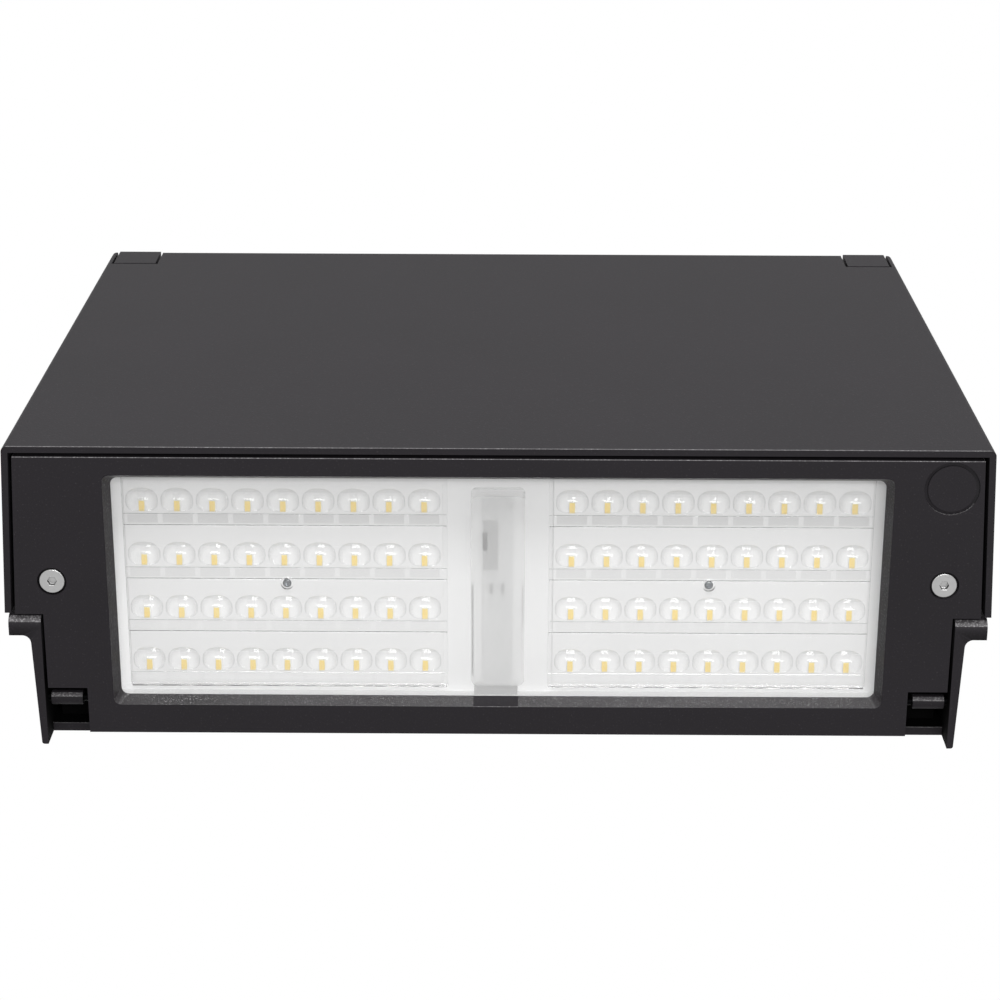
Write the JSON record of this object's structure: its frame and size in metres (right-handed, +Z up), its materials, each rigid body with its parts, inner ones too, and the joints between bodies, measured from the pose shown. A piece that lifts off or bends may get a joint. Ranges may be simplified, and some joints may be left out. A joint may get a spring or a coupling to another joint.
{
  "type": "wall pack light",
  "caption": "Box-shaped full cut-off wall light: cast hood hinged on a flat-mounting back box, with a hinged lens door over rows of LED optics held shut by captive screws.",
  "frame": {"origin": "centre of the four-hole bolt pattern in the wall plane, at mid height and mid width of the housing", "axes": "+Z up, -Y out of the wall towards the front plate, +X to the right when the light is seen from in front; the lens window faces -Z"},
  "size_m": [0.4642, 0.1515, 0.342],
  "materials": {
    "housing_paint": "dark bronze-grey fine texture powder coat on die-cast aluminium",
    "seal_rubber": "black silicone",
    "hinge_steel": "plain stainless pin",
    "zinc_steel": "zinc-plated steel",
    "brass_screw": "green dyed earth screw",
    "driver_case": "plain drawn aluminium",
    "surge_plastic": "black potted case",
    "terminal_plastic": "off-white moulding",
    "clear_glass": "clear tempered pane",
    "white_pan": "white painted sheet",
    "sink_aluminium": "plain extruded",
    "white_board": "white solder mask",
    "led_phosphor": "yellow phosphor under clear silicone",
    "clear_optic": "clear moulded acrylic",
    "frosted_cover": "frosted moulding",
    "connector_plastic": "grey moulding",
    "screw_steel": "satin stainless"
  },
  "bodies": {
    "mount_side": {"back_box": "housing_paint", "wall_gasket": "seal_rubber", "housing_seal_strips": "seal_rubber", "hood_hinge_pin_left": "hinge_steel", "hood_hinge_pin_right": "hinge_steel", "door_hinge_pin_left": "hinge_steel", "door_hinge_pin_right": "hinge_steel", "conduit_plug_left": "housing_paint", "conduit_plug_right": "housing_paint", "latch_bracket_left": "zinc_steel", "latch_bracket_right": "zinc_steel", "bracket_screws": "zinc_steel", "driver_tray": "zinc_steel", "tray_screws": "zinc_steel", "led_driver": "driver_case", "driver_screws": "zinc_steel", "surge_protector": "surge_plastic", "terminal_block": "terminal_plastic", "ground_screw": "brass_screw"},
    "hood": {"front_housing": "housing_paint"},
    "lens_door": {"door_frame": "housing_paint", "lens_gasket": "seal_rubber", "lens_glass": "clear_glass", "led_pan": "white_pan", "heat_sink": "sink_aluminium", "heat_sink_screws": "zinc_steel", "led_board_left": "white_board", "led_board_right": "white_board", "led_chips_left": "led_phosphor", "led_chips_right": "led_phosphor", "optic_plate_left": "clear_optic", "optic_plate_right": "clear_optic", "wire_cover": "frosted_cover", "board_connector": "connector_plastic", "board_screws": "zinc_steel"},
    "captive_left": {"captive_screw_left": "screw_steel", "screw_retainer_left": "screw_steel"},
    "captive_right": {"captive_screw_right": "screw_steel", "screw_retainer_right": "screw_steel"}
  },
  "joints": [
    {"name": "hood_hinge", "type": "hinge", "parent": "mount_side", "child": "hood", "pos_m": [0, -0.1445, 0.16], "axis": [-1, 0, 0], "range_deg": [0, 95]},
    {"name": "door_hinge", "type": "hinge", "parent": "mount_side", "child": "lens_door", "pos_m": [0, -0.0213, -0.163], "axis": [1, 0, 0], "range_deg": [0, 90]},
    {"name": "captive_screw_left_travel", "type": "slide", "parent": "lens_door", "child": "captive_left", "axis": [0, 0, -1], "range_m": [0, 0.0075]},
    {"name": "captive_screw_right_travel", "type": "slide", "parent": "lens_door", "child": "captive_right", "axis": [0, 0, -1], "range_m": [0, 0.0075]}
  ]
}
